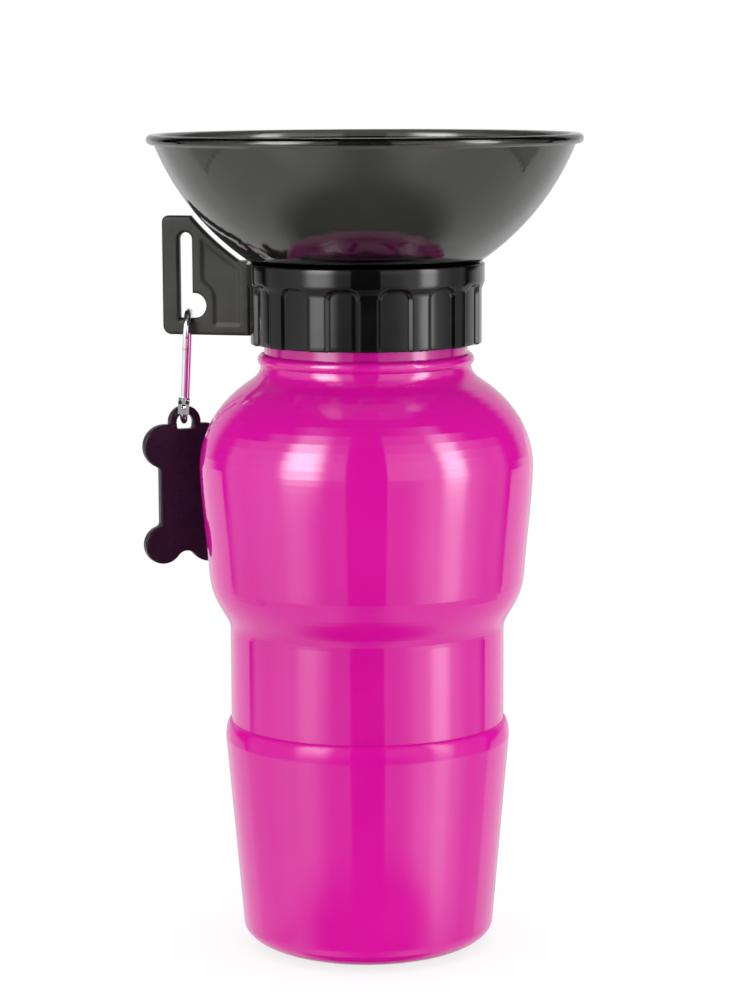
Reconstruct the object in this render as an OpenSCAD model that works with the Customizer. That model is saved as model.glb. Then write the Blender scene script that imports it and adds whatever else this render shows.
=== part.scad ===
// Squeeze bottle with a drinking bowl, for dogs on a walk.
// The bottle's axis is Z and it stands on z = 0.  The hanger plate points along -X.
// Squeezing the bottle lifts water up the dip tube, through the slit valve and the
// domed outlet into the bowl, and letting go draws what is left back down.

/* [Bottle] */
// Radius of the lower body just above its base corner
base_r = 34.1; // [32:0.1:36]
// Width of the rounded base corner
base_corner_w = 12.2; // [6:0.1:14]
// Height of the rounded base corner
base_corner_h = 6.2; // [3:0.1:8]
// Radius at the ledge that tops the lower body
ledge_r = 38.5; // [38:0.1:40]
// Height of the lower body, from the table to the start of the ledge
lower_h = 57.6; // [45:0.1:65]
// Height of the ledge's roll, from the lower body up to the crease at the waist
ledge_h = 4.9; // [3.5:0.1:8]
// Radius of the waist where the hand grips
waist_r = 37; // [34:0.1:37.2]
// Height of the straight waist
waist_h = 24.9; // [15:0.1:35]
// Height of the flare from the waist out to the bulge
flare_h = 15; // [12:0.1:20]
// Radius where the flare meets the bulge
bulge_low_r = 42.5; // [41:0.1:43.5]
// Largest radius of the bulge
bulge_r = 44.8; // [43.6:0.1:46]
// Height of the bulge above the flare
bulge_h = 29.2; // [20:0.1:36]
// Height of the shoulder ellipse from the bulge to the neck's root
shoulder_h = 24.5; // [20:0.1:28]
// Wall of the bottle
bottle_wall = 1.2; // [0.8:0.1:1.6]

/* [Neck] */
// Outer radius of the screw neck between its threads
neck_r = 27.2; // [26.8:0.1:27.6]
// Wall of the neck
neck_wall = 1.6; // [1.2:0.1:1.7]
// Radius of the neck's root, where the shoulder ends
root_r = 28.2; // [27.8:0.1:28.6]
// Height of the neck from its root to its lip
neck_h = 22.3; // [20:0.1:25]
// Height of the bead's middle above the neck's root
bead_z = 4.1; // [3.5:0.1:5]
// Radius of the bead's round section
bead_r = 1.7; // [1.2:0.1:1.8]
// Height that the curve at the neck's root climbs the neck
root_rise = 2.6; // [1:0.1:3]
// Rise of the thread in one turn
thread_lead = 4.2; // [3.8:0.1:4.6]
// Height of a thread above its wall
thread_depth = 1.3; // [1:0.1:1.4]
// Width of a thread at its root
thread_w = 2.2; // [1.8:0.1:2.4]
// Turns of thread on the neck
neck_turns = 1.5; // [1:0.25:1.5]
// Turns of thread in the collar
collar_turns = 1.25; // [0.75:0.25:1.25]

/* [Collar] */
// Height of the collar
collar_h = 21.5; // [19:0.1:23]
// Radius of the collar's smooth top band
band_r = 31.8; // [31.4:0.1:33]
// Radius of the collar over its ribs
rib_r = 31.1; // [30.9:0.1:31.4]
// Height of the smooth top band
band_h = 4.6; // [4:0.1:6]
// Height of the slope between the band and the ribs
slope_h = 2.7; // [1:0.1:4]
// Number of grip recesses round the collar
flutes = 14; // [8:1:18]
// Width of a grip recess
flute_w = 8.4; // [5:0.1:9]
// Depth of a grip recess
flute_depth = 0.8; // [0.4:0.1:1]
// Corner radius at the top of a grip recess
flute_corner = 2.6; // [1:0.1:3]
// Height from the collar's top to the top of a grip recess
flute_drop = 5.6; // [5:0.1:8]
// Angle of the first grip recess
flute_angle = 16.7; // [0:0.1:25]
// Thickness of the collar's top plate
plate_t = 2; // [1.6:0.1:2.4]
// Thickness of the rim that keeps the hanger's ring in its recess
rim_t = 1.6; // [1.2:0.1:2]
// Thickness of the lock ring under the collar's top plate
lock_t = 2.4; // [1.8:0.1:3]
// Thickness of the neck gasket
gasket_t = 1.6; // [1.2:0.1:2]

/* [Bowl] */
// Outer radius of the bowl's foot
bowl_foot_r = 30.4; // [29.6:0.1:31.2]
// Radius of the bowl under its rim
bowl_top_r = 55.8; // [50:0.1:60]
// Height of the bowl above the collar
bowl_h = 34; // [28:0.1:40]
// Radius of the bowl's curved side
bowl_curve_r = 67.7; // [55:0.1:90]
// Wall of the bowl
bowl_wall = 2; // [1.4:0.1:2.4]
// Thickness of the bowl's floor
floor_t = 2.2; // [2:0.1:3]
// Radius of the round bead along the rim
rim_bead_r = 1.35; // [1.1:0.05:1.6]
// Outer radius of the spigot under the bowl
spigot_r = 25; // [24.6:0.1:25.2]
// Wall of the spigot
spigot_wall = 2; // [1.6:0.1:2.2]

/* [Outlet] */
// Radius of the domed outlet's flange
dome_r = 22; // [21.6:0.1:22.4]
// Height of the dome above the bowl's floor
dome_h = 4.2; // [3:0.1:6]
// Wall of the dome and its skirt
dome_wall = 1.4; // [1.2:0.1:1.6]
// Number of water slots in the dome
slots = 8; // [4:1:10]
// Width of a water slot
slot_w = 2; // [1.2:0.1:2.6]
// Length of a water slot
slot_l = 7; // [4:0.1:8]
// Radius of the outlet seal's round section
seal_r = 0.6; // [0.5:0.05:0.7]
// Radius of the slit valve
valve_r = 9.8; // [8:0.1:11]
// Thickness of the slit valve's rim
valve_t = 1.2; // [1:0.1:1.6]
// Length of each slit in the valve
slit_l = 7; // [5:0.1:8]
// Outer radius of the dip tube
tube_r = 4; // [3.5:0.1:4.6]
// Wall of the dip tube
tube_wall = 1; // [0.8:0.1:1.2]
// Height of the tube foot above the bottle's floor
foot_gap = 1.4; // [1:0.1:4]

/* [Hanger] */
// Thickness of the hanger plate at its border
hanger_t = 2.7; // [2.2:0.1:3.2]
// Height of the plate's lower edge above the collar's lower edge
hanger_low = 1.2; // [0.5:0.1:3]
// Height of the plate's upper edge above the collar's top
hanger_rise = 11.9; // [9:0.1:13]
// Sideways gap between the plate's curved edge and the bowl
hanger_bowl_gap = 4.8; // [4:0.1:6]
// Width of the strap slot
strap_w = 3.7; // [3.2:0.1:4.2]
// Distance from the plate's outer edge to the strap slot
strap_edge = 4.8; // [4:0.1:6]
// Distance from the strap slot's outer edge to where the hook hangs
hook_in = 2; // [1.8:0.1:3]
// Height of the bar under the strap slot
bar_h = 4.6; // [3.8:0.1:4.8]
// Distance from the plate's upper edge to the strap slot
strap_top = 4.5; // [3:0.1:6]
// Radius of the keyhole at the foot of the strap slot
keyhole_r = 3.35; // [3:0.05:3.8]
// Distance of the keyhole's middle from the inner edge of the strap slot
keyhole_in = 0.5; // [0:0.1:1.5]
// Depth of the shallow panel on each side of the plate
panel_depth = 0.35; // [0.2:0.05:0.5]
// Width of the border left round that panel
panel_border = 2.2; // [1.8:0.1:3]

/* [Snap hook] */
// Length of the hook over its two bows
clip_l = 34.3; // [30:0.1:36]
// Width of the hook over its two sides
clip_w = 12.5; // [12.5:0.1:15]
// Thickness of the hook's wire
wire_d = 2; // [1.8:0.1:2.1]
// Length of the fixed nose that meets the gate
nose_l = 2.4; // [2:0.1:3]
// Length of the lap between the nose and the gate
lap_l = 1.4; // [1:0.1:1.8]
// Height of the gate's pin above the lower bow
pin_z = 2.4; // [2:0.1:4]
// Thickness of the gate's pin
pin_d = 0.9; // [0.8:0.05:1]
// Width of the ears that hold the pin
ear_w = 3; // [2.8:0.1:3.4]
// Thickness of the gate's tongue between the ears
tongue_t = 1; // [0.8:0.05:1.2]
// Lean of the hook where its tag rests beside the bottle
clip_lean = 22; // [20:1:24]
// Sideways tilt of the hook, outwards
clip_roll = 4; // [2:1:6]
// Turn of the hook on its bar
clip_yaw = 15; // [12:1:16]

/* [Bone tag] */
// Thickness of the tag
tag_t = 3; // [2.4:0.1:3.2]
// Thickness of the tag's loop
loop_t = 2.4; // [2:0.1:2.6]
// Inner radius of the loop
loop_r = 2.4; // [2.35:0.05:2.8]
// Width of the loop's band
loop_w = 2.15; // [1.6:0.05:2.4]
// Distance from the loop's middle down to the top of the tag's body
tag_drop = 0.5; // [0.3:0.1:1]
// Height of the tag's body
tag_h = 38.7; // [34:0.1:42]
// Radius of the two upper lobes
lobe_top_r = 6.1; // [5:0.1:6.5]
// Radius of the two lower lobes
lobe_low_r = 5.3; // [4.5:0.1:6]
// Half of the tag's width over its lobes
tag_half_w = 11.9; // [10.5:0.1:12.2]
// Half of the width of the tag's shank
shank_half_w = 7.4; // [6:0.1:8.5]
// Turn of the tag's face from the hook's side
tag_yaw = 22; // [16:1:24]

/* [Clearances] */
// Gap between parts that are fitted by hand and don't move
fit_gap = 0.2; // [0.1:0.05:0.3]
// Gap between the collar's and the neck's threads, across and along the axis
thread_gap = 0.4; // [0.3:0.05:0.5]
// Gap between the hook and the bar it hangs on
hang_gap = 0.3; // [0.2:0.05:0.5]
// Gap between the bottle's bulge and the nearest corner of the tag beside it
tag_gap = 1.31; // [1:0.01:3]
// Gap between the hook's wire and the top of the tag's loop that hangs on it
loop_gap = 1; // [0.9:0.05:1.2]
// Gap between the gate and the ears and nose it works in
gate_gap = 0.12; // [0.1:0.01:0.15]
// Running gap between the gate and its pin
pin_gap = 0.04; // [0.02:0.01:0.08]

/* [Hidden] */
$fn = 96;
curve_steps = 12;   // points along each curved stretch of an outline
skin = 0.5;         // how far a joined shape reaches into the one it joins
through = 1;        // how far a cut runs past the face it opens

// Heights up the bottle, each from the one below
waist_z = lower_h + ledge_h;
flare_z = waist_z + waist_h;
bulge_z0 = flare_z + flare_h;
bulge_z = bulge_z0 + bulge_h;
root_z = bulge_z + shoulder_h;
lip_z = root_z + neck_h;
gasket_z = lip_z + gasket_t;
lock_z = gasket_z + lock_t;
recess_z = lock_z + plate_t;
ring_t = 1.6;
top_z = recess_z + ring_t;
collar_z = top_z - collar_h;
floor_z = top_z + floor_t;
rim_z = top_z + bowl_h;

// Radii that follow from the neck and the collar
neck_bore_r = neck_r - neck_wall;
collar_bore_r = neck_r + thread_depth + thread_gap;
spigot_bore_r = spigot_r - spigot_wall;
recess_r = band_r - rim_t;
snap_r = neck_bore_r - fit_gap;

// Outlet stack, from the bowl's floor down to the tube
seat_drop = 1.2;
dome_seat_z = top_z + floor_t - seat_drop;
dome_flange_t = 1.6;
flange_w = 1.7;
skirt_r = dome_r - flange_w;
skirt_drop = 5;
skirt_z = top_z - skirt_drop;
outlet_hole_r = skirt_r + fit_gap;
socket_wall = 1.6;
socket_r = skirt_r + socket_wall;
socket_flange_r = spigot_bore_r - fit_gap;
funnel_h = 5;
pocket_h = 4;
pocket_z = skirt_z - funnel_h - pocket_h;
valve_top_z = pocket_z + valve_t;
clip_t = 2;
pocket_floor_t = 1.5;
sleeve_h = 12.5;
tube_top_z = pocket_z - pocket_floor_t;
sleeve_z = tube_top_z - sleeve_h;
sleeve_r = tube_r + socket_wall;
tube_bore_r = tube_r - tube_wall;
foot_z = bottle_wall + foot_gap;
foot_ledge = 1.6;
foot_h = 9;
tube_low_z = foot_z + foot_ledge;

// Hanger plate
hanger_z0 = collar_z + hanger_low;
hanger_z1 = top_z + hanger_rise;
hanger_in = band_r + 0.3;
bar_z = hanger_z0 + bar_h;
web_w = 9;

// Snap hook: its swing axis is the middle of the bar's round top
bar_r = hanger_t / 2;
wire_r = wire_d / 2;
bow_r = clip_w / 2 - wire_r;
bow_in = bow_r - wire_r;
top_bow_z = bar_r + hang_gap - bow_in;
side_l = clip_l - clip_w;
low_bow_z = top_bow_z - side_l;
gate_z = low_bow_z + pin_z;
ear_r = 1.35;

// Bone tag: it hangs upright at the lowest place of the leaning hook's lower bow
hang_z = low_bow_z * cos(clip_lean) - bow_r;
loop_lift = wire_r + loop_gap;
hang_place = [hang_z * sin(clip_roll), -low_bow_z * sin(clip_lean), hang_z * cos(clip_roll)];
function turned(p, a) = [p[0] * cos(a) - p[1] * sin(a), p[0] * sin(a) + p[1] * cos(a)];
tag_corner = turned([hang_place[0], hang_place[1]], clip_yaw)
    + turned([tag_half_w, -tag_t / 2], clip_yaw + tag_yaw);

// The plate reaches out until the tag's corner clears the bulge by its gap
clip_x = -sqrt(pow(bulge_r + tag_gap, 2) - pow(tag_corner[1], 2)) - tag_corner[0];
clip_axis = [clip_x, 0, bar_z - bar_r];
strap_out = hook_in - clip_x;
strap_in = strap_out - strap_w;
hanger_reach = strap_out + strap_edge;

function bez(a, b, c, d) = [for (i = [1:curve_steps]) let (t = i / curve_steps, s = 1 - t)
    s * s * s * a + 3 * s * s * t * b + 3 * s * t * t * c + t * t * t * d];
function arc(c, rx, ry, a0, a1) = [for (i = [0:curve_steps])
    let (a = a0 + (a1 - a0) * i / curve_steps) c + [rx * cos(a), ry * sin(a)]];
function reversed(p) = [for (i = [len(p) - 1:-1:0]) p[i]];
function unit(v) = v / norm(v);
// The outline moved to its left by d, square to its run at each point
function inset(p, d) = [for (i = [0:len(p) - 1])
    let (t = unit(p[min(i + 1, len(p) - 1)] - p[max(i - 1, 0)])) p[i] + d * [-t[1], t[0]]];

// Outline of the bottle, from the middle of its base to the neck's root.  The inside
// follows a softer ledge than the outside, which has a crease above its roll.
shoulder_in = 36.7;
shoulder_rise = shoulder_h / sin(acos((root_r - bulge_r + shoulder_in) / shoulder_in));
shoulder_end = acos((root_r - bulge_r + shoulder_in) / shoulder_in);
function body_outline(ledge) = concat(
    [[0, 0]],
    arc([base_r - base_corner_w, base_corner_h], base_corner_w, base_corner_h, -90, 0),
    [[ledge_r, lower_h]],
    ledge,
    [[waist_r, flare_z]],
    bez([waist_r, flare_z], [waist_r, flare_z + flare_h * 0.27],
        [bulge_low_r - 0.5, flare_z + flare_h * 0.45], [bulge_low_r, bulge_z0]),
    bez([bulge_low_r, bulge_z0], [bulge_low_r + 0.9, bulge_z0 + bulge_h * 0.4],
        [bulge_r, bulge_z - bulge_h * 0.25], [bulge_r, bulge_z]),
    arc([bulge_r - shoulder_in, bulge_z], shoulder_in, shoulder_rise, 3, shoulder_end));
ledge_roll = [for (i = [1:curve_steps]) let (a = 90 * i / curve_steps)
    [waist_r + (ledge_r - waist_r) * cos(a), lower_h + ledge_h * sin(a)]];
ledge_inside = bez([ledge_r, lower_h], [ledge_r, lower_h + ledge_h * 0.5],
                   [waist_r, lower_h + ledge_h * 0.5], [waist_r, waist_z]);
body_path = body_outline(ledge_roll);
body_inside = inset(body_outline(ledge_inside), bottle_wall);

// Curve at the neck's root, from the shoulder up the neck
root_deg = shoulder_end - 9;
root_foot = [bulge_r - shoulder_in + shoulder_in * cos(root_deg),
             bulge_z + shoulder_rise * sin(root_deg)];
root_curve = concat(
    [root_foot],
    bez(root_foot,
        root_foot + 0.45 * unit([-shoulder_in * sin(root_deg), shoulder_rise * cos(root_deg)])
            * norm([root_r, root_z] - root_foot),
        [root_r, root_z - 0.2], [root_r, root_z + root_rise]));

// Centre of the bowl's side, found from its foot, its top and its radius
bowl_foot = [bowl_foot_r, top_z];
bowl_top = [bowl_top_r, rim_z - 2 * rim_bead_r];
bowl_mid = (bowl_foot + bowl_top) / 2;
bowl_run = bowl_top - bowl_foot;
bowl_back = sqrt(pow(bowl_curve_r, 2) - pow(norm(bowl_run) / 2, 2));
bowl_c = bowl_mid + bowl_back * unit([-bowl_run[1], bowl_run[0]]);
function bowl_r_at(z, r = bowl_curve_r) = bowl_c[0] + sqrt(r * r - pow(z - bowl_c[1], 2));
function bowl_curve(r, z0, z1, out = 0) = [for (i = [0:2 * curve_steps])
    let (z = z0 + (z1 - z0) * i / (2 * curve_steps)) [bowl_r_at(z, r) + out, z]];

// A screw thread: one trapezoid swept up a helix, fading in and out at its ends
module thread(root, crest, z0, turns) {
    rings = round(turns * 36);
    fade = 4;
    pts = [for (i = [0:rings]) let (
            a = i * 10,
            z = z0 + thread_lead * a / 360,
            f = min(1, (i + 0.2) / fade, (rings - i + 0.2) / fade),
            r = root + (crest - root) * f,
            hw = thread_w / 2,
            hc = hw - thread_depth / 2)
        each [[root, z - hw], [r, z - hc], [r, z + hc], [root, z + hw]]];
    spun = [for (k = [0:len(pts) - 1]) let (a = floor(k / 4) * 10)
        [pts[k][0] * cos(a), pts[k][0] * sin(a), pts[k][1]]];
    out = crest > root;
    sides = [for (i = [0:rings - 1], j = [0:3]) let (
            p = 4 * i + j, q = 4 * i + (j + 1) % 4, r = p + 4, s = q + 4)
        each (out ? [[p, q, r], [q, s, r]] : [[p, r, q], [q, r, s]])];
    last = 4 * rings;
    ends = out
        ? [[0, 2, 1], [0, 3, 2], [last, last + 1, last + 2], [last, last + 2, last + 3]]
        : [[0, 1, 2], [0, 2, 3], [last, last + 2, last + 1], [last, last + 3, last + 2]];
    polyhedron(spun, concat(sides, ends));
}

thread_z = root_z + 12.2;
module bottle() {
    lip_edge = 0.4;
    color([0.86, 0.08, 0.62]) union() {
        rotate_extrude() polygon(concat(
            body_path,
            [[root_r, root_z + bead_z], [neck_r, root_z + bead_z], [neck_r, lip_z - lip_edge],
             [neck_r - lip_edge, lip_z], [neck_bore_r, lip_z], [neck_bore_r, root_z]],
            reversed([for (i = [1:len(body_inside) - 1]) body_inside[i]]),
            [[0, bottle_wall]]));
        rotate_extrude() polygon(concat(root_curve,
            [[root_r - skin, root_z + root_rise], [root_r - skin, root_foot[1] - skin]]));
        rotate_extrude() translate([root_r + 0.8 - bead_r, root_z + bead_z]) circle(bead_r, $fn = 32);
        thread(neck_r - skin, neck_r + thread_depth, thread_z, neck_turns);
    }
}

module neck_gasket() {
    color([0.82, 0.82, 0.8]) translate([0, 0, lip_z]) difference() {
        cylinder(h = gasket_t, r = neck_r + 1.1);
        translate([0, 0, -through]) cylinder(h = gasket_t + 2 * through, r = neck_bore_r);
    }
}

// Grip recess: a flat panel with round top corners, pushed in from outside
module flute() {
    h = collar_h - flute_drop;
    reach = 2;
    translate([rib_r - flute_depth - reach, 0, 0]) rotate([90, 0, 90])
        linear_extrude(band_r - rib_r + flute_depth + 2 * reach) {
        translate([-flute_w / 2, -through]) square([flute_w, h - flute_corner + through]);
        translate([-flute_w / 2 + flute_corner, 0]) square([flute_w - 2 * flute_corner, h]);
        for (s = [-1, 1])
            translate([s * (flute_w / 2 - flute_corner), h - flute_corner])
                circle(flute_corner, $fn = 48);
    }
}

module collar() {
    edge = 0.5;
    slope_z = top_z - band_h;
    color([0.05, 0.05, 0.055]) difference() {
        union() {
            rotate_extrude() polygon([
                [collar_bore_r, collar_z], [rib_r - edge, collar_z], [rib_r, collar_z + edge],
                [rib_r, slope_z - slope_h], [band_r, slope_z], [band_r, top_z],
                [recess_r, top_z], [recess_r, recess_z], [spigot_r + fit_gap, recess_z],
                [spigot_r + fit_gap, lock_z], [collar_bore_r, lock_z]]);
            thread(collar_bore_r + skin, neck_r + thread_gap,
                   thread_z - thread_w + thread_depth / 2 - thread_gap / 2, collar_turns);
        }
        translate([0, 0, collar_z]) difference() {
            for (k = [0:flutes - 1]) rotate(flute_angle + k * 360 / flutes) flute();
            translate([0, 0, -2 * through]) cylinder(h = 2 * collar_h, r = rib_r - flute_depth);
        }
        // Notch that lets the hanger's web out through the rim
        translate([-band_r - through, -web_w / 2 - fit_gap, recess_z])
            cube([rim_t + 2 * through, web_w + 2 * fit_gap, ring_t + through]);
    }
}

module lock_ring() {
    color([0.12, 0.12, 0.13]) translate([0, 0, gasket_z]) difference() {
        cylinder(h = lock_t, r = collar_bore_r - fit_gap);
        translate([0, 0, -through]) cylinder(h = lock_t + 2 * through, r = spigot_r);
    }
}

// Outline of the hanger plate, with x as the distance from the bottle's axis
module hanger_outline() {
    low_r = 2.4;
    high_r = 1.8;
    polygon(concat(
        [[hanger_in, hanger_z0]],
        arc([hanger_reach - low_r, hanger_z0 + low_r], low_r, low_r, -90, 0),
        arc([hanger_reach - high_r, hanger_z1 - high_r], high_r, high_r, 0, 90),
        reversed(bowl_curve(bowl_curve_r, top_z, hanger_z1, hanger_bowl_gap)),
        [[hanger_in, top_z]]));
}

module hanger_slot() {
    r = strap_w / 2;
    top = hanger_z1 - strap_top - r;
    translate([strap_in, bar_z - bar_r]) square([strap_w, top - bar_z + bar_r]);
    translate([strap_in + r, top]) circle(r, $fn = 48);
    translate([strap_in - keyhole_in, bar_z + keyhole_r]) circle(keyhole_r, $fn = 64);
    translate([strap_in - keyhole_in, bar_z - bar_r]) square([strap_w, keyhole_r + bar_r]);
}

// Shallow panel between the slot and the bowl, cut into both faces
module hanger_panel() {
    z0 = hanger_z0 + panel_border;
    polygon(concat(
        [[hanger_in + panel_border, z0], [strap_in - keyhole_r - panel_border, z0],
         [strap_in - keyhole_r - panel_border, bar_z + 2 * keyhole_r],
         [strap_in - panel_border, bar_z + 2 * keyhole_r + panel_border]],
        reversed(bowl_curve(bowl_curve_r, top_z, hanger_z1 - panel_border,
                            hanger_bowl_gap + panel_border)),
        [[hanger_in + panel_border, top_z - panel_border]]));
}

module hanger() {
    ring_r = recess_r - fit_gap;
    color([0.2, 0.2, 0.19]) union() {
        translate([0, 0, recess_z]) difference() {
            union() {
                cylinder(h = ring_t, r = ring_r);
                translate([-hanger_in - 2, -web_w / 2, 0]) cube([hanger_in, web_w, ring_t]);
            }
            translate([0, 0, -through])
                cylinder(h = ring_t + 2 * through, r = spigot_r + fit_gap);
        }
        mirror([1, 0, 0]) rotate([90, 0, 0]) difference() {
            linear_extrude(hanger_t, center = true) difference() {
                hanger_outline();
                hanger_slot();
            }
            for (s = [-1, 1])
                translate([0, 0, s * hanger_t / 2])
                    linear_extrude(2 * panel_depth, center = true) hanger_panel();
        }
        // Round top of the bar that the hook hangs on
        translate([-strap_out - skin, 0, bar_z - bar_r]) rotate([0, 90, 0])
            cylinder(h = strap_w + keyhole_in + 2 * skin, r = bar_r);
    }
}

module bowl() {
    snap_z = gasket_z - 0.2;
    in_r = bowl_curve_r - bowl_wall;
    lead = 0.6;
    bead_c = [bowl_top_r + 0.75, rim_z - rim_bead_r];
    lip_in = [bowl_r_at(bead_c[1] - 0.6, in_r), bead_c[1] - 0.6];
    color([0.16, 0.16, 0.15]) rotate_extrude() polygon(concat(
        [[outlet_hole_r, top_z], [spigot_bore_r, top_z], [spigot_bore_r, snap_z - 2.6],
         [spigot_r - lead, snap_z - 2.6], [snap_r, snap_z - 1.2], [snap_r, snap_z - 0.6],
         [spigot_r, snap_z], [spigot_r, top_z]],
        bowl_curve(bowl_curve_r, top_z, bowl_top[1]),
        arc(bead_c, rim_bead_r, rim_bead_r, -100, 90),
        bez([bead_c[0], rim_z], [lip_in[0] + 0.8, rim_z], [lip_in[0] + 0.3, rim_z - 0.3], lip_in),
        reversed(bowl_curve(in_r, floor_z, lip_in[1] - 0.5)),
        [[dome_r + 0.3, floor_z], [dome_r + 0.3, dome_seat_z], [outlet_hole_r, dome_seat_z]]));
}

module outlet_dome() {
    flange_z = dome_seat_z + dome_flange_t;
    cap_r = skirt_r - 0.3;
    rise = dome_h + floor_z - flange_z;
    ball_r = (cap_r * cap_r + rise * rise) / (2 * rise);
    ball_z = flange_z + rise - ball_r;
    cap_a = asin(cap_r / ball_r);
    in_r = ball_r - dome_wall;
    in_end = skirt_r - dome_wall;
    color([0.8, 0.1, 0.6]) difference() {
        rotate_extrude() polygon(concat(
            [[dome_r, dome_seat_z], [dome_r, flange_z - 0.4], [dome_r - 0.4, flange_z]],
            arc([0, ball_z], ball_r, ball_r, 90 - cap_a, 90),
            reversed(arc([0, ball_z], in_r, in_r, acos(in_end / in_r), 90)),
            [[in_end, skirt_z], [skirt_r, skirt_z], [skirt_r, dome_seat_z]]));
        for (k = [0:slots - 1]) rotate(k * 360 / slots)
            translate([skirt_r - slot_l - 4, -slot_w / 2, dome_seat_z])
                cube([slot_l, slot_w, 2 * dome_h + floor_t]);
        rotate_extrude() translate([dome_r - seal_r - 0.2, dome_seat_z + seal_r - 0.1])
            circle(seal_r, $fn = 32);
    }
}

module outlet_seal() {
    color([0.75, 0.75, 0.73]) rotate_extrude()
        translate([dome_r - seal_r - 0.2, dome_seat_z + seal_r]) circle(seal_r - 0.1, $fn = 32);
}

module tube_socket() {
    flange_t = 1.6;
    rim_lap = 1.4;
    pocket_lap = 1;
    step_low = 0.3;
    pocket_r = valve_r + fit_gap;
    out_r = pocket_r + socket_wall;
    color([0.6, 0.6, 0.58]) rotate_extrude() polygon([
        [skirt_r, top_z], [socket_flange_r, top_z], [socket_flange_r, top_z - flange_t],
        [socket_r, top_z - flange_t], [socket_r, skirt_z - rim_lap],
        [out_r, skirt_z - funnel_h - pocket_lap], [out_r, tube_top_z - step_low],
        [sleeve_r, tube_top_z - step_low - rim_lap], [sleeve_r, sleeve_z],
        [tube_r, sleeve_z], [tube_r, tube_top_z], [tube_bore_r, tube_top_z],
        [tube_bore_r, pocket_z], [pocket_r, pocket_z], [pocket_r, skirt_z - funnel_h],
        [skirt_r - dome_wall, skirt_z], [skirt_r, skirt_z]]);
}

module slit_valve() {
    edge_r = valve_r * 0.62;
    rise = 1.8;
    skin_t = 0.8;
    ball_r = (edge_r * edge_r + rise * rise) / (2 * rise);
    a = asin(edge_r / ball_r);
    slit_w = 0.3;
    color([0.9, 0.9, 0.88]) difference() {
        rotate_extrude() polygon(concat(
            [[edge_r, pocket_z], [valve_r, pocket_z], [valve_r, valve_top_z], [edge_r, valve_top_z]],
            arc([0, valve_top_z + rise - ball_r], ball_r, ball_r, 90 - a, 90),
            reversed(arc([0, valve_top_z + rise - ball_r], ball_r - skin_t, ball_r - skin_t,
                         90 - a * 0.9, 90))));
        for (turn = [0, 90]) rotate(turn)
            translate([-slit_l / 2, -slit_w / 2, pocket_z]) cube([slit_l, slit_w, 3 * rise]);
    }
}

module valve_clip() {
    color([0.6, 0.6, 0.58]) translate([0, 0, valve_top_z]) difference() {
        cylinder(h = clip_t, r = valve_r + fit_gap);
        translate([0, 0, -through]) cylinder(h = clip_t + 2 * through, r = valve_r * 0.7);
    }
}

module dip_tube() {
    color([0.85, 0.85, 0.83]) translate([0, 0, tube_low_z]) difference() {
        cylinder(h = tube_top_z - tube_low_z, r = tube_r);
        translate([0, 0, -through])
            cylinder(h = tube_top_z - tube_low_z + 2 * through, r = tube_bore_r);
    }
}

module tube_foot() {
    notch_w = 2.4;
    notch_h = 3;
    color([0.6, 0.6, 0.58]) translate([0, 0, foot_z]) difference() {
        rotate_extrude() polygon([
            [tube_bore_r, 0], [tube_r + 2.2, 0], [tube_r + 1.4, foot_h * 0.4], [tube_r + 1.4, foot_h],
            [tube_r, foot_h], [tube_r, foot_ledge], [tube_bore_r, foot_ledge]]);
        for (turn = [0, 90]) rotate(turn)
            translate([-2 * tube_r, -notch_w / 2, -through])
                cube([4 * tube_r, notch_w, notch_h - foot_ledge + through]);
    }
}

// Places what hangs on the bar: x across the hook, -y to its gate, z up its length
module at_clip() {
    translate(clip_axis) rotate([0, 0, clip_yaw]) rotate([0, clip_roll, 0])
        rotate([clip_lean, 0, 0]) children();
}

// Half a ring of wire, bulging up
module bow() {
    rotate([0, 90, 0]) rotate(90) rotate_extrude(angle = 180) translate([bow_r, 0])
        circle(wire_r, $fn = 32);
}

module clip_body() {
    block_h = pin_z + skin;
    slot_t = tongue_t + 2 * gate_gap;
    color([0.75, 0.76, 0.78]) at_clip() difference() {
        union() {
            translate([0, 0, top_bow_z]) bow();
            translate([0, 0, low_bow_z]) mirror([0, 0, 1]) bow();
            translate([0, bow_r, low_bow_z]) cylinder(h = side_l, r = wire_r, $fn = 32);
            translate([0, -bow_r, top_bow_z - nose_l]) cylinder(h = nose_l, r = wire_r, $fn = 32);
            translate([-ear_w / 2, -bow_r - ear_r, gate_z - block_h]) cube([ear_w, 2 * ear_r, block_h]);
            translate([-ear_w / 2, -bow_r, gate_z]) rotate([0, 90, 0])
                cylinder(h = ear_w, r = ear_r, $fn = 48);
        }
        // Inner half of the nose, where the gate laps it
        translate([-wire_d, -bow_r - gate_gap, top_bow_z - nose_l - through])
            cube([2 * wire_d, wire_d, lap_l + through]);
        // Slot for the gate's tongue
        translate([-slot_t / 2, -bow_r - 2 * ear_r, gate_z - ear_r])
            cube([slot_t, 4 * ear_r, 3 * ear_r]);
        translate([-ear_w, -bow_r, gate_z]) rotate([0, 90, 0])
            cylinder(h = 2 * ear_w, r = pin_d / 2, $fn = 48);
    }
}

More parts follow.
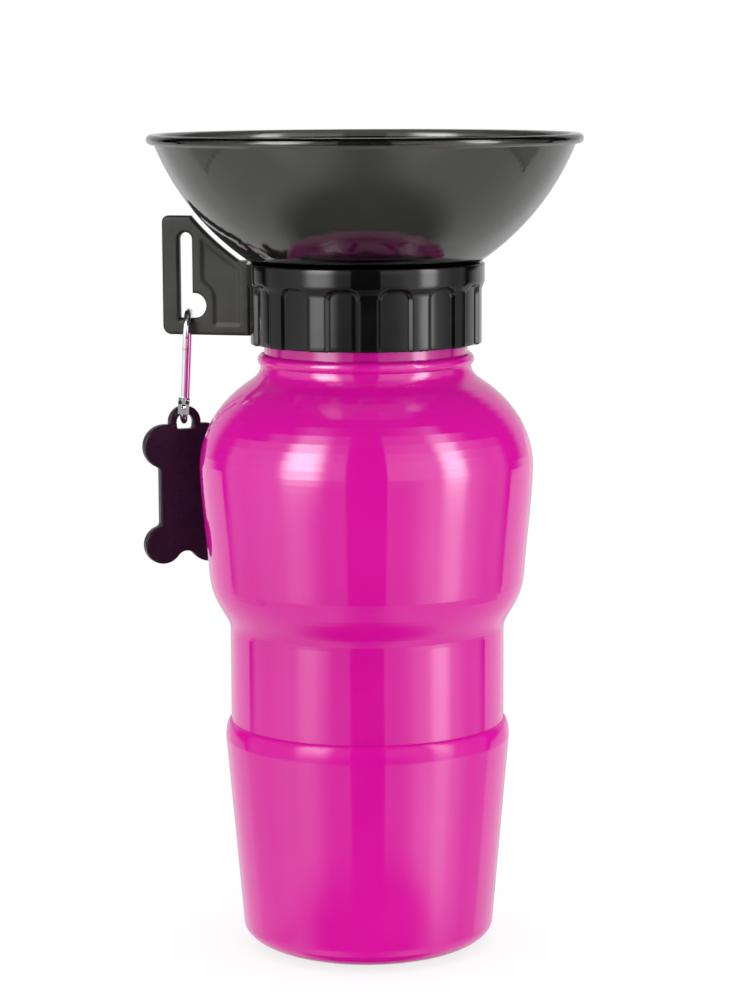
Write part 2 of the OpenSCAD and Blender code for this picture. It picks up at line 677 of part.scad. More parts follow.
gate_low = ear_r + 0.3;
gate_top = top_bow_z - nose_l - gate_z - gate_gap;
spring_bore_r = 0.62;
spring_bore_l = 5;
module clip_gate() {
    eye_r = ear_r - 0.3;
    color([0.8, 0.81, 0.83]) at_clip() translate([0, -bow_r, gate_z]) difference() {
        union() {
            translate([0, 0, gate_low]) cylinder(h = gate_top - gate_low, r = wire_r, $fn = 32);
            difference() {
                translate([0, 0, gate_top - skin]) cylinder(h = lap_l + skin, r = wire_r, $fn = 32);
                translate([-wire_d, -wire_d + gate_gap, gate_top])
                    cube([2 * wire_d, wire_d, lap_l + through]);
            }
            translate([-tongue_t / 2, -eye_r, 0]) cube([tongue_t, 2 * eye_r, gate_low + skin]);
            translate([-tongue_t / 2, 0, 0]) rotate([0, 90, 0])
                cylinder(h = tongue_t, r = eye_r, $fn = 48);
        }
        rotate([0, 90, 0]) cylinder(h = 2 * ear_w, r = pin_d / 2 + pin_gap, center = true, $fn = 48);
        translate([0, 0, gate_low + 0.8]) cylinder(h = spring_bore_l, r = spring_bore_r, $fn = 32);
    }
}

module gate_pin() {
    color([0.6, 0.61, 0.63]) at_clip() translate([0, -bow_r, gate_z]) rotate([0, 90, 0])
        cylinder(h = ear_w, r = pin_d / 2, center = true, $fn = 48);
}

// Coil inside the gate, one unbroken wire of six sides
module gate_spring() {
    coil_wire = 0.2;
    coil_r = spring_bore_r - coil_wire / 2 - 0.02;
    coil_turns = 7;
    ring_step = 45;
    rings = coil_turns * 360 / ring_step;
    coil_l = spring_bore_l - coil_wire - 0.1;
    coil_gap = coil_l / coil_turns - coil_wire;
    echo(coil_gap = coil_gap);
    pts = [for (i = [0:rings], j = [0:5]) let (
            a = i * ring_step, b = j * 60, r = coil_r + coil_wire / 2 * cos(b))
        [r * cos(a), r * sin(a), coil_l * i / rings + coil_wire / 2 * sin(b)]];
    sides = [for (i = [0:rings - 1], j = [0:5]) let (
            p = 6 * i + j, q = 6 * i + (j + 1) % 6, r = p + 6, s = q + 6)
        each [[p, q, r], [q, s, r]]];
    ends = [for (j = [1:4]) each [[0, j + 1, j], [6 * rings, 6 * rings + j, 6 * rings + j + 1]]];
    color([0.55, 0.56, 0.58]) at_clip()
        translate([0, -bow_r, gate_z + gate_low + 0.8 + coil_wire / 2 + 0.05])
            polyhedron(pts, concat(sides, ends));
}

// Outline of the bone, with its loop's middle at the origin
module bone_outline() {
    top = -tag_drop;
    low = top - tag_h;
    lobe_top = [tag_half_w - lobe_top_r, top - lobe_top_r];
    lobe_low = [tag_half_w - lobe_low_r, low + lobe_low_r];
    notch_r = 5;
    difference() {
        union() {
            for (s = [-1, 1]) {
                translate([s * lobe_top[0], lobe_top[1]]) circle(lobe_top_r, $fn = 64);
                translate([s * lobe_low[0], lobe_low[1]]) circle(lobe_low_r, $fn = 64);
            }
            translate([-shank_half_w, low + 3]) square([2 * shank_half_w, tag_h - 4]);
            translate([-lobe_top[0], top - lobe_top_r]) square([2 * lobe_top[0], lobe_top_r]);
        }
        translate([0, low + 3.3 - notch_r]) circle(notch_r, $fn = 64);
        circle(loop_r, $fn = 64);
    }
}

module bone_tag() {
    color([0.08, 0.05, 0.08]) translate(clip_axis) rotate(clip_yaw) translate(hang_place)
        rotate(tag_yaw)
        translate([0, 0, loop_lift - loop_r]) rotate([90, 0, 0]) {
            linear_extrude(tag_t, center = true) bone_outline();
            linear_extrude(loop_t, center = true) difference() {
                union() {
                    circle(loop_r + loop_w, $fn = 64);
                    translate([-loop_r - loop_w, -loop_r - loop_w])
                        square([2 * (loop_r + loop_w), loop_r + loop_w]);
                }
                circle(loop_r, $fn = 64);
            }
        }
}

bottle();
neck_gasket();
collar();
lock_ring();
hanger();
bowl();
outlet_dome();
outlet_seal();
tube_socket();
slit_valve();
valve_clip();
dip_tube();
tube_foot();
clip_body();
clip_gate();
gate_pin();
gate_spring();
bone_tag();
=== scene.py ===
import math

import bpy
import bmesh
from mathutils import Matrix, Vector
from mathutils.geometry import tessellate_polygon


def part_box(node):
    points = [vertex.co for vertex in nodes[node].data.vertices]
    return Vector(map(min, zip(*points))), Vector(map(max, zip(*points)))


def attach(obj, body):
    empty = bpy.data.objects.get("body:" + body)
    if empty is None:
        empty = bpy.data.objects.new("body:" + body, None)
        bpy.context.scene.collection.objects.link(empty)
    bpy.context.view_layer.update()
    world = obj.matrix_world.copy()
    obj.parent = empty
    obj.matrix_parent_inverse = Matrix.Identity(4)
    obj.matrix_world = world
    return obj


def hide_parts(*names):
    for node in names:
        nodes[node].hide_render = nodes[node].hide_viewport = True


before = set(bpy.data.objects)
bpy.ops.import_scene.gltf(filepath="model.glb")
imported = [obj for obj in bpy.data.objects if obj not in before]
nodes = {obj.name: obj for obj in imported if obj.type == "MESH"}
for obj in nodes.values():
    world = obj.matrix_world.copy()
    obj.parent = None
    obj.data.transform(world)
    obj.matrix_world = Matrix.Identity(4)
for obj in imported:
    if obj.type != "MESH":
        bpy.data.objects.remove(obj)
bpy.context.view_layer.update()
MM = 0.001
SMOOTH_DEG = 35

# Camera, fitted to the photograph's outline
CAMERA_AZIMUTH = math.radians(15)
CAMERA_DISTANCE = 787.7 * MM
CAMERA_HEIGHT = 237.05 * MM
CAMERA_PITCH = math.radians(8.32)
CAMERA_YAW = math.radians(-0.137)
CAMERA_ROLL = math.radians(-0.245)
CAMERA_LENS = 106.3

# Studio, in metres.  Its angles are counted from the camera's side, positive to the camera's
# right, and its elevations from a point at EYE_HEIGHT on the bottle's axis
FLAT_DISTANCE = 1.3
FLAT_LOW, FLAT_HIGH = -0.57, 2.3
FLAT_STEPS = 56
EYE_HEIGHT = 0.13
FILL_LEVEL = 1.28
TOP_LIGHT_SIZE = 0.9
TOP_LIGHT_POWER = 3
TOP_LIGHT_PLACE = (0.1, -0.1, 1.3)
FLOOR_HALF = 3.0
SHADOW_NEAR, SHADOW_FAR = 0.05, 0.2

# The ledge's roll, in metres above the base
LEDGE_LOW = 57.4 * MM
LEDGE_HIGH = 62.5 * MM


def box_mm(node):
    """A node's lowest and highest corners at rest, in millimetres."""
    low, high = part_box(node)
    return Vector(low) / MM, Vector(high) / MM


# Sizes of the pieces that are modelled here, in millimetres
FIT_GAP = 0.2
LEAST_STEP = 0.02

# Screw collar.  SLOPE_Z, RECESS_Z and PLATE_LOW_Z are heights above its foot
COLLAR_Z, COLLAR_TOP = box_mm("collar")[0].z, box_mm("collar")[1].z
COLLAR_H = COLLAR_TOP - COLLAR_Z
COLLAR_BORE_R = 28.9
COLLAR_EDGE = 0.5
BAND_R = box_mm("collar")[1].x
BAND_H = 4.6
RIB_DROP = 0.7
RIB_R = BAND_R - RIB_DROP
SLOPE_H = 2.7
SLOPE_Z = COLLAR_H - BAND_H
RING_T = 1.6
RECESS_Z = COLLAR_H - RING_T
RIM_T = 1.6
RECESS_R = BAND_R - RIM_T
RIM_BEVEL = 0.3
PLATE_T = 2.0
PLATE_LOW_Z = RECESS_Z - PLATE_T
BORE_BEVEL = 0.4
SPIGOT_HOLE_R = 25.2

# Rows of points on the collar's wall, from its foot up: coarse ones, then fine ones where the
# grip recesses end and the wall slopes out, then the heights of those on the band
COARSE_ROWS, COARSE_STEP = 12, 0.9
FINE_ROWS, FINE_STEP, FINE_FROM = 20, 0.3, 11.6
BAND_ROWS = (18.6, 20)

# Grip recesses of the collar
FLUTES = 14
FLUTE_PITCH = 360 / FLUTES
FLUTE_W = 8.4
FLUTE_DEPTH = 0.8
FLUTE_CORNER = 2.6
FLUTE_DROP = 5.6
FLUTE_ANGLE = 16.7
FLUTE_EDGE = 0.5
FLUTE_COLUMNS = 40

# Collar's thread
THREAD_LEAD = 4.2
THREAD_W = 2.2
THREAD_DEPTH = 1.3
THREAD_CREST_R = 27.6
THREAD_SINK = 0.5
THREAD_ROOT_R = COLLAR_BORE_R + THREAD_SINK
COLLAR_TURNS = 1.25
NECK_THREAD_Z = 168.3
THREAD_FOOT_Z = NECK_THREAD_Z - THREAD_W + THREAD_DEPTH / 2 - FIT_GAP

# Bowl's outer side, which the hanger plate follows
BOWL_FOOT_R = 30.4
BOWL_TOP_R = 55.8
BOWL_CURVE_R = 67.7
BOWL_H = 34.0
RIM_BEAD_R = 1.35

# Hanger plate.  HANGER_REACH, HANGER_IN, STRAP_OUT and STRAP_IN are distances from the axis
HANGER_LOW, HANGER_HIGH = box_mm("hanger")
HANGER_REACH = -HANGER_LOW.x
HANGER_T = 2.7
HANGER_EDGE = 0.75
HANGER_GAP = 0.3
HANGER_IN = BAND_R + HANGER_GAP
HANGER_LOW_R = 2.4
HANGER_HIGH_R = 1.8
HANGER_BOWL_GAP = 4.8
SIDE_STEPS = 14
STRAP_EDGE = 4.8
STRAP_W = 3.7
STRAP_TOP = 4.5
STRAP_FOOT_R = 0.6
STRAP_OUT = HANGER_REACH - STRAP_EDGE
STRAP_IN = STRAP_OUT - STRAP_W
BAR_H = 4.6
BAR_Z = HANGER_LOW.z + BAR_H
BAR_R = HANGER_T / 2
BAR_SINK = 0.65
BAR_PAST = 0.6
KEYHOLE_R = 3.35
KEYHOLE_IN = 0.5
PANEL_BORDER = 2.2
PANEL_CORNER = 1.4
PANEL_DEPTH = 0.28
PANEL_SLOPE_W = 1.5
WEB_W = 9.0
WEB_SINK = 0.02
WEB_IN_RING = 1.5
WEB_IN_PLATE = 2

# Bone-shaped tag and its loop, drawn from the middle of the loop's arch
TAG_T = 3.0
TAG_EDGE = 0.55
TAG_DROP = 0.5
TAG_H = 38.7
TAG_HALF_W = 11.9
LOBE_TOP_R = 6.1
LOBE_LOW_R = 5.3
SHANK_HALF_W = 7.4
TAG_FILLET = 1.2
NOTCH_R = 3.0
TAG_TURN = math.radians(37)
LOOP_T = 2.4
LOOP_EDGE = 0.5
LOOP_R = 2.4
LOOP_W = 2.15
LOOP_SINK = 1.2
LOOP_HOLE_RISE = 0.5
LOOP_HOLE_CORNER = 0.7


def ease(low, high, value):
    """A smooth step from 0 to 1 as the value runs from low to high."""
    t = min(1, max(0, (value - low) / (high - low)))
    return t * t * (3 - 2 * t)


def add_camera():
    """The photograph's camera."""
    data = bpy.data.cameras.new("camera")
    data.lens = CAMERA_LENS
    data.sensor_width = 36
    data.clip_start = 0.05
    data.clip_end = 20
    camera = bpy.data.objects.new("camera", data)
    bpy.context.collection.objects.link(camera)
    place = around(0, CAMERA_HEIGHT, CAMERA_DISTANCE)
    turn = (Matrix.Rotation(CAMERA_AZIMUTH + CAMERA_YAW, 4, "Z")
            @ Matrix.Rotation(math.pi / 2 - CAMERA_PITCH, 4, "X")
            @ Matrix.Rotation(CAMERA_ROLL, 4, "Z"))
    camera.matrix_world = Matrix.Translation(place) @ turn
    bpy.context.scene.camera = camera


def new_object(name, points, faces, material):
    """A mesh object at the origin, from points in metres."""
    mesh = bpy.data.meshes.new(name)
    mesh.from_pydata([tuple(p) for p in points], [], faces)
    mesh.materials.append(material)
    made = bpy.data.objects.new(name, mesh)
    bpy.context.collection.objects.link(made)
    return made


def around(angle_deg, height, distance):
    """A point round the bottle, at an angle counted from the camera's side."""
    a = CAMERA_AZIMUTH + math.radians(angle_deg)
    return Vector((distance * math.sin(a), -distance * math.cos(a), height))


def link(tree, a, b):
    tree.links.new(a, b)


def node_of(tree, kind, **values):
    made = tree.nodes.new(kind)
    for key, value in values.items():
        setattr(made, key, value)
    return made


def new_material(name):
    material = bpy.data.materials.new(name)
    material.use_nodes = True
    return material, material.node_tree, material.node_tree.nodes["Principled BSDF"]


def maths(tree, operation, a, b):
    made = node_of(tree, "ShaderNodeMath", operation=operation)
    link(tree, a, made.inputs[0])
    link(tree, b, made.inputs[1])
    return made.outputs[0]


def mapped(tree, value, from_low, from_high, to_low, to_high, **values):
    """A value that runs from one level to another as the first one grows."""
    made = node_of(tree, "ShaderNodeMapRange", **values)
    made.inputs["From Min"].default_value = from_low
    made.inputs["From Max"].default_value = from_high
    made.inputs["To Min"].default_value = to_low
    made.inputs["To Max"].default_value = to_high
    link(tree, value, made.inputs["Value"])
    return made.outputs["Result"]


def slope(tree, value, from_low, from_high, to_low, to_high):
    """A smooth step from one level to another as the value grows."""
    return mapped(tree, value, from_low, from_high, to_low, to_high, interpolation_type="SMOOTHSTEP")


def towards(tree, place, direction):
    """How far a place or direction lies along another direction."""
    made = node_of(tree, "ShaderNodeVectorMath", operation="DOT_PRODUCT")
    made.inputs[1].default_value = direction
    link(tree, place, made.inputs[0])
    return made.outputs["Value"]


def mixed(tree, share, a, b):
    """The first shader, and the second where the share is 1."""
    made = node_of(tree, "ShaderNodeMixShader")
    link(tree, share, made.inputs["Fac"])
    link(tree, a, made.inputs[1])
    link(tree, b, made.inputs[2])
    return made.outputs[0]


def flat_glow(levels, out, rise):
    """Brightness of a flat without its cores, at an angle out and an elevation in degrees."""
    near, beside, far = levels
    # Its upper edge sinks towards its far end
    top = 57 - 36 * ease(52, 108, out)
    glow = near + (beside - near) * ease(18, 45, out)
    glow += (far - beside) * ease(64, 96, out)
    # It is duller low down on the camera's side, and falls off upwards
    glow *= 1 - 0.6 * (1 - ease(26, 52, out)) * (1 - ease(-8, 8, rise))
    glow *= 1 - 0.75 * ease(14, 58, rise)
    # Its lower, upper and far edges are soft, and the far one ends higher up only
    glow *= ease(-29, -27, rise) * (1 - ease(top - 4, top + 3, rise))
    glow *= 1 - ease(104, 114, out) * ease(-22, -12, rise)
    return glow


def core_glow(core, angle, rise):
    """Brightness of a hot core at an angle and an elevation in degrees."""
    core_deg, core_rise, half_w, half_h, bright = core
    across = abs(angle - core_deg) / half_w
    up = abs(rise - core_rise) / half_h
    # Its sides are sharper than its top and foot
    return bright * math.exp(-across ** 4 - up ** 2.5)


def add_flat(name, from_deg, to_deg, levels, cores):
    """A tall curved white flat with soft hot cores, which only glossy surfaces mirror.

    levels is its brightness (near the camera, beside the bottle, at its far edge).  Each core
    is (angle, elevation, half width, half height, brightness), in degrees."""
    steps = FLAT_STEPS
    points, glows = [], []
    for i in range(steps + 1):
        angle = from_deg + (to_deg - from_deg) * i / steps
        for j in range(steps + 1):
            # The rows lie closer low down
            height = FLAT_LOW + (FLAT_HIGH - FLAT_LOW) * (j / steps) ** 1.3
            rise = math.degrees(math.atan2(height - EYE_HEIGHT, FLAT_DISTANCE))
            points.append(around(angle, height, FLAT_DISTANCE))
            glows.append(sum((core_glow(core, angle, rise) for core in cores),
                             flat_glow(levels, abs(angle), rise)))
    faces = [(i * (steps + 1) + j, (i + 1) * (steps + 1) + j,
              (i + 1) * (steps + 1) + j + 1, i * (steps + 1) + j + 1)
             for i in range(steps) for j in range(steps)]
    material, tree, shader = new_material(name)
    tree.nodes.remove(shader)
    glow = node_of(tree, "ShaderNodeAttribute", attribute_name="glow")
    lamp = node_of(tree, "ShaderNodeEmission")
    link(tree, glow.outputs["Fac"], lamp.inputs["Strength"])
    link(tree, lamp.outputs[0], tree.nodes["Material Output"].inputs["Surface"])
    flat = new_object(name, points, faces, material)
    made = flat.data.attributes.new("glow", "FLOAT", "POINT")
    made.data.foreach_set("value", glows)
    flat.visible_camera = False
    flat.visible_diffuse = False
    flat.visible_transmission = False
    flat.visible_shadow = False


def add_top_light():
    """A wide overhead lamp for the shadow; nothing mirrors it."""
    data = bpy.data.lights.new("top_light", "AREA")
    data.shape = "DISK"
    data.size = TOP_LIGHT_SIZE
    data.energy = TOP_LIGHT_POWER
    lamp = bpy.data.objects.new("top_light", data)
    bpy.context.collection.objects.link(lamp)
    lamp.matrix_world = Matrix.Translation(TOP_LIGHT_PLACE)
    lamp.visible_camera = False
    lamp.visible_glossy = False


def room_level(tree):
    """What glossy walls mirror: a white backdrop and a pale table.

    The table is duller in front of the bottle, and dark where the bottle itself covers it."""
    back = (-math.sin(CAMERA_AZIMUTH), math.cos(CAMERA_AZIMUTH), 0)
    back_and_down = (back[0], back[1], -3)
    across = (math.cos(CAMERA_AZIMUTH), math.sin(CAMERA_AZIMUTH), 0)
    place = node_of(tree, "ShaderNodeTexCoord").outputs["Generated"]
    table = slope(tree, towards(tree, place, back_and_down), 0.6, 0.95, 0.03, 1.3)
    aside = node_of(tree, "ShaderNodeMath", operation="ABSOLUTE")
    link(tree, towards(tree, place, across), aside.inputs[0])
    front = slope(tree, aside.outputs[0], 0.03, 0.42, 0.3, 1)
    under = slope(tree, towards(tree, place, (0, 0, -1)), 0.8, 0.94, 1, 0.03)
    table = maths(tree, "MULTIPLY", maths(tree, "MULTIPLY", table, front), under)
    wall = slope(tree, towards(tree, place, back), 0.6, 0.8, 0, 0.9)
    wall_top = slope(tree, towards(tree, place, (0, 0, 1)), 0.5, 0.7, 1, 0)
    return maths(tree, "MAXIMUM", table, maths(tree, "MULTIPLY", wall, wall_top))


def background(tree, grey, strength):
    """A background shader in one grey."""
    made = node_of(tree, "ShaderNodeBackground")
    made.inputs["Color"].default_value = (grey, grey, grey, 1)
    made.inputs["Strength"].default_value = strength
    return made


def add_world():
    """Even light, white behind the object and through clear walls, and a room to mirror."""
    world = bpy.data.worlds.new("studio")
    bpy.context.scene.world = world
    world.use_nodes = True
    tree = world.node_tree
    tree.nodes.clear()
    rays = node_of(tree, "ShaderNodeLightPath")
    fill = background(tree, 1, FILL_LEVEL)
    white = background(tree, 1, 1)
    room = background(tree, 0.8, 1)
    link(tree, room_level(tree), room.inputs["Strength"])
    # Clear walls that are seen in a mirroring one show the room, not the white
    direct = node_of(tree, "ShaderNodeMath", operation="LESS_THAN")
    direct.inputs[1].default_value = 0.5
    link(tree, rays.outputs["Glossy Depth"], direct.inputs[0])
    clear = maths(tree, "MULTIPLY", rays.outputs["Is Transmission Ray"], direct.outputs[0])
    seen = maths(tree, "MAXIMUM", rays.outputs["Is Camera Ray"], clear)
    unseen = mixed(tree, rays.outputs["Is Glossy Ray"], fill.outputs[0], room.outputs[0])
    out = node_of(tree, "ShaderNodeOutputWorld")
    link(tree, mixed(tree, seen, unseen, white.outputs[0]), out.inputs["Surface"])


def add_floor():
    """A white floor that keeps the bottle's shadow and runs out into the background."""
    material, tree, shader = new_material("floor")
    shader.inputs["Base Color"].default_value = (0.9, 0.9, 0.9, 1)
    shader.inputs["Roughness"].default_value = 0.9
    shader.inputs["Specular IOR Level"].default_value = 0
    rays = node_of(tree, "ShaderNodeLightPath")
    seen = maths(tree, "MAXIMUM", rays.outputs["Is Camera Ray"], rays.outputs["Is Transmission Ray"])
    place = node_of(tree, "ShaderNodeTexCoord")
    away = node_of(tree, "ShaderNodeVectorMath", operation="LENGTH")
    link(tree, place.outputs["Object"], away.inputs[0])
    fade = slope(tree, away.outputs["Value"], SHADOW_NEAR, SHADOW_FAR, 0.8, 1)
    white = node_of(tree, "ShaderNodeEmission")
    surface = mixed(tree, maths(tree, "MULTIPLY", seen, fade), shader.outputs[0], white.outputs[0])
    link(tree, surface, tree.nodes["Material Output"].inputs["Surface"])
    corners = [(x * FLOOR_HALF, y * FLOOR_HALF, 0) for x, y in ((-1, -1), (1, -1), (1, 1), (-1, 1))]
    floor = new_object("floor", corners, [(0, 1, 2, 3)], material)
    floor.visible_glossy = False


def noise(tree, scale, detail, stretch=(1, 1, 1)):
    """Noise laid through the object's own space, in metres."""
    place = node_of(tree, "ShaderNodeTexCoord")
    fit = node_of(tree, "ShaderNodeMapping")
    fit.inputs["Scale"].default_value = stretch
    made = node_of(tree, "ShaderNodeTexNoise")
    made.inputs["Scale"].default_value = scale
    made.inputs["Detail"].default_value = detail
    link(tree, place.outputs["Object"], fit.inputs["Vector"])
    link(tree, fit.outputs["Vector"], made.inputs["Vector"])
    return made.outputs["Fac"]


def vary_colour(tree, shader, value, dark, light):
    """Colours the surface between two tones by a noise."""
    ramp = node_of(tree, "ShaderNodeValToRGB")
    ramp.color_ramp.elements[0].position = 0.3
    ramp.color_ramp.elements[0].color = (*dark, 1)
    ramp.color_ramp.elements[1].position = 0.7
    ramp.color_ramp.elements[1].color = (*light, 1)
    link(tree, value, ramp.inputs["Fac"])
    link(tree, ramp.outputs["Color"], shader.inputs["Base Color"])


def vary_roughness(tree, shader, value, low, high):
    """Runs the roughness between two levels by a noise."""
    link(tree, mapped(tree, value, 0.3, 0.7, low, high), shader.inputs["Roughness"])


def bump(tree, shader, layers):
    """Adds bumps from (value, distance in metres, strength), the coarse ones first."""
    normal = None
    for value, distance, strength in layers:
        made = node_of(tree, "ShaderNodeBump")
        made.inputs["Distance"].default_value = distance
        made.inputs["Strength"].default_value = strength
        link(tree, value, made.inputs["Height"])
        if normal is not None:
            link(tree, normal, made.inputs["Normal"])
        normal = made.outputs["Normal"]
    link(tree, normal, shader.inputs["Normal"])


def magenta_plastic():
    """Blown bottle plastic: deep magenta, glossy, with the slow waves of its mould."""
    material, tree, shader = new_material("magenta_plastic")
    vary_colour(tree, shader, noise(tree, 14, 3), (0.545, 0.003, 0.263), (0.63, 0.0058, 0.32))
    vary_roughness(tree, shader, noise(tree, 60, 4), 0.05, 0.1)
    shader.inputs["IOR"].default_value = 1.5
    # The ledge's roll is moulded duller than the walls
    place = node_of(tree, "ShaderNodeTexCoord").outputs["Object"]
    height = towards(tree, place, (0, 0, 1))
    roll = maths(tree, "MULTIPLY", slope(tree, height, LEDGE_LOW, LEDGE_LOW + 0.6 * MM, 0, 1),
                 slope(tree, height, LEDGE_HIGH, LEDGE_HIGH + 0.3 * MM, 1, 0))
    link(tree, slope(tree, roll, 0, 1, 0.5, 0.17), shader.inputs["Specular IOR Level"])
    shader.inputs["Subsurface Weight"].default_value = 0.25
    shader.inputs["Subsurface Radius"].default_value = (1.0, 0.2, 0.7)
    shader.inputs["Subsurface Scale"].default_value = 0.004
    bump(tree, shader, [(noise(tree, 26, 1, (1, 1, 0.35)), 0.0004, 0.3),
                        (noise(tree, 900, 2), 0.00002, 0.1)])
    return material


def black_plastic():
    """The collar's black plastic, polished by its mould."""
    material, tree, shader = new_material("black_plastic")
    vary_colour(tree, shader, noise(tree, 120, 3), (0.0022, 0.0022, 0.0022), (0.005, 0.005, 0.0047))
    vary_roughness(tree, shader, noise(tree, 150, 4), 0.04, 0.09)
    shader.inputs["Specular IOR Level"].default_value = 0.25
    bump(tree, shader, [(noise(tree, 140, 1), 0.00012, 0.2), (noise(tree, 1500, 2), 0.00001, 0.2)])
    return material


def clear_smoke_plastic():
    """The bowl's clear plastic with a smoky body, darker the thicker it is."""
    material, tree, shader = new_material("bowl_smoke")
    vary_colour(tree, shader, noise(tree, 30, 2), (0.86, 0.86, 0.85), (0.92, 0.92, 0.9))
    vary_roughness(tree, shader, noise(tree, 90, 3), 0.03, 0.08)
    shader.inputs["IOR"].default_value = 1.49
    shader.inputs["Transmission Weight"].default_value = 1
    bump(tree, shader, [(noise(tree, 40, 1), 0.0001, 0.15), (noise(tree, 1200, 2), 0.00001, 0.1)])
    smoke = node_of(tree, "ShaderNodeVolumeAbsorption")
    smoke.inputs["Color"].default_value = (0.1, 0.1, 0.06, 1)
    smoke.inputs["Density"].default_value = 780
    link(tree, smoke.outputs[0], tree.nodes["Material Output"].inputs["Volume"])
    return material


def thick_smoke_plastic():
    """The hanger plate's smoky plastic, too thick to see through, with a satin skin."""
    material, tree, shader = new_material("thick_smoke_plastic")
    vary_colour(tree, shader, noise(tree, 60, 3), (0.016, 0.016, 0.014), (0.03, 0.03, 0.026))
    vary_roughness(tree, shader, noise(tree, 160, 4), 0.26, 0.38)
    shader.inputs["Specular IOR Level"].default_value = 0.12
    bump(tree, shader, [(noise(tree, 70, 1), 0.0001, 0.3), (noise(tree, 1300, 2), 0.00001, 0.3)])
    return material


def dome_plastic():
    """The outlet dome's dark plastic, tinted plum as a painted reflection of the magenta bottle's
    shoulder.
    """
    material, tree, shader = new_material("dome_plastic")
    # Dark tones tinted plum: the dark is the dome's own, the plum is a painted reflection of the magenta
    # shoulder
    vary_colour(tree, shader, noise(tree, 80, 3), (0.018, 0.009, 0.024), (0.03, 0.016, 0.04))
    vary_roughness(tree, shader, noise(tree, 200, 3), 0.12, 0.22)
    bump(tree, shader, [(noise(tree, 200, 2), 0.0001, 0.2)])
    return material


def natural_plastic():
    """Undyed milky plastic of the inner pieces."""
    material, tree, shader = new_material("natural_plastic")
    vary_colour(tree, shader, noise(tree, 60, 3), (0.72, 0.71, 0.66), (0.82, 0.81, 0.77))
    vary_roughness(tree, shader, noise(tree, 200, 3), 0.3, 0.45)
    shader.inputs["Subsurface Weight"].default_value = 0.3
    shader.inputs["Subsurface Scale"].default_value = 0.002
    bump(tree, shader, [(noise(tree, 700, 2), 0.00003, 0.3)])
    return material


def soft_rubber():
    """Matt pale rubber of the seals and the valve."""
    material, tree, shader = new_material("soft_rubber")
    vary_colour(tree, shader, noise(tree, 90, 3), (0.62, 0.61, 0.58), (0.72, 0.71, 0.68))
    vary_roughness(tree, shader, noise(tree, 400, 3), 0.5, 0.7)
    bump(tree, shader, [(noise(tree, 1400, 3), 0.00004, 0.4)])
    return material


def fine_metal(name, dark, light, low, high):
    """Plated or drawn metal with fine marks along its length."""
    material, tree, shader = new_material(name)
    vary_colour(tree, shader, noise(tree, 300, 2), dark, light)
    vary_roughness(tree, shader, noise(tree, 500, 4, (1, 1, 0.15)), low, high)
    shader.inputs["Metallic"].default_value = 1
    bump(tree, shader, [(noise(tree, 900, 3, (1, 1, 0.2)), 0.00002, 0.25)])
    return material


def tag_plastic():
    """The tag's near-black plastic, with a fine grain; its plum tint is a painted reflection of the
    magenta bottle.
    """
    material, tree, shader = new_material("tag_plastic")
    grain = noise(tree, 110, 3, (1, 1, 0.3))
    # Near-black tones tinted plum: the black is the tag's own, the plum is a painted reflection of the
    # magenta bottle
    vary_colour(tree, shader, grain, (0.012, 0.003, 0.012), (0.024, 0.007, 0.021))
    vary_roughness(tree, shader, noise(tree, 260, 4), 0.22, 0.36)
    shader.inputs["Specular IOR Level"].default_value = 0.14
    bump(tree, shader, [(noise(tree, 160, 2), 0.0001, 0.2), (noise(tree, 1600, 3), 0.00002, 0.35)])
    return material


def smooth(piece):
    """Smooth shading, apart from sharp edges."""
    bpy.context.view_layer.objects.active = piece
    piece.select_set(True)
    bpy.ops.object.shade_smooth_by_angle(angle=math.radians(SMOOTH_DEG))
    piece.select_set(False)


def dress(node, material):
    """Gives a carried-over node its material and smooth shading."""
    piece = nodes[node]
    piece.data.materials.clear()
    piece.data.materials.append(material)
    smooth(piece)


class Build:
    """Collects the points and faces of one piece, in millimetres."""

    def __init__(self):
        self.points = []
        self.faces = []

    def add(self, points):
        """Adds points and returns their numbers."""
        first = len(self.points)
        self.points.extend(points)
        return list(range(first, first + len(points)))

    def skin(self, rings, around_too=False):
        """Quads between rings of point numbers, each ring closed on itself."""
        pairs = list(zip(rings, rings[1:]))
        if around_too:
            pairs.append((rings[-1], rings[0]))
        for a, b in pairs:
            for i in range(len(a)):
                j = (i + 1) % len(a)
                self.faces.append((a[i], a[j], b[j], b[i]))

    def tube(self, rings):
        """A skin over the rings, closed by one face at each end."""
        self.skin(rings)
        self.faces.append(tuple(rings[0]))
        self.faces.append(tuple(rings[-1]))

    def cap(self, loops):
        """Flat faces inside the first loop of point numbers and outside the others."""
        flat = [number for loop in loops for number in loop]
        for triangle in tessellate_polygon([[self.points[n] for n in loop] for loop in loops]):
            self.faces.append(tuple(flat[i] for i in triangle))

    def piece(self, name, node, body, slot, material, place=Matrix.Identity(4)):
        """The finished piece, which stands for a node and rides on a body."""
        made = new_object(name, [(place @ p) * MM for p in self.points], self.faces, material)
        shape = bmesh.new()
        shape.from_mesh(made.data)
        bmesh.ops.remove_doubles(shape, verts=shape.verts, dist=0.001 * MM)
        bmesh.ops.recalc_face_normals(shape, faces=shape.faces)
        shape.to_mesh(made.data)
        shape.free()
        smooth(made)
        flat = made.modifiers.new("flat_faces", "WEIGHTED_NORMAL")
        flat.keep_sharp = True
        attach(made, body)
        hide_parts(node)


def arc(centre, radius, from_deg, to_deg, steps=10):
    """Points along an arc, from one angle to another."""
    return [Vector((centre[0] + radius * math.cos(math.radians(a)),
                    centre[1] + radius * math.sin(math.radians(a))))
            for a in (from_deg + (to_deg - from_deg) * i / steps for i in range(steps + 1))]


def circle(radius, columns):
    """Points round a circle, as (x, y)."""
    return [(radius * math.cos(math.tau * i / columns), radius * math.sin(math.tau * i / columns))
            for i in range(columns)]


